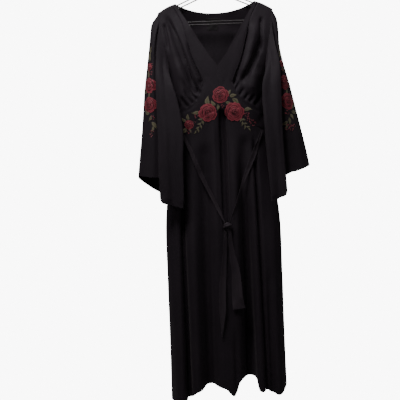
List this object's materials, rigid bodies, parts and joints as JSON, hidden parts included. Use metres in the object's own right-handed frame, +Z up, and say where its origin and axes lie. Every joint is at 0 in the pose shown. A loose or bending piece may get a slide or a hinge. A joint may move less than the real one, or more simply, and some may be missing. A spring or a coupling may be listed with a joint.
{
  "type": "maxi dress on hanger",
  "caption": "Floor-length black dress with V neck, bell sleeves, embroidered midriff and front ties, hanging from a twin-rail hanger by its hook.",
  "frame": {"origin": "inside top of the hook, where a rail carries it", "axes": "+Z up, -Y the dress's front, +X to the right seen from the front"},
  "size_m": [0.6199, 0.1851, 1.6048],
  "materials": {
    "crepe": "matt black crepe with a soft sheen",
    "embroidery": "dark red rayon thread",
    "label_satin": "black woven satin, blank",
    "hanger_plastic": "black moulded plastic",
    "hook_steel": "plated steel wire"
  },
  "bodies": {
    "root": {"band_left": "crepe", "band_right": "crepe", "cup_left": "crepe", "cup_right": "crepe", "back_bodice": "crepe", "skirt_front": "crepe", "skirt_back": "crepe", "sleeve_left": "crepe", "sleeve_right": "crepe", "tie_left": "crepe", "tie_right": "crepe", "tail_left": "crepe", "tail_right": "crepe", "tie_knot": "crepe", "rose_midriff_1": "embroidery", "rose_midriff_2": "embroidery", "rose_midriff_3": "embroidery", "rose_midriff_4": "embroidery", "rose_sleeve_left_1": "embroidery", "rose_sleeve_left_2": "embroidery", "rose_sleeve_left_3": "embroidery", "rose_sleeve_right_1": "embroidery", "rose_sleeve_right_2": "embroidery", "rose_sleeve_right_3": "embroidery", "neck_label": "label_satin", "size_tab": "label_satin", "hanger_rail_outer": "hanger_plastic", "hanger_rail_inner": "hanger_plastic", "hanger_collar": "hanger_plastic", "hanger_rung_1": "hanger_plastic", "hanger_rung_2": "hanger_plastic", "hanger_rung_3": "hanger_plastic", "hanger_rung_4": "hanger_plastic", "hanger_rung_5": "hanger_plastic", "hanger_hook": "hook_steel"}
  },
  "joints": []
}
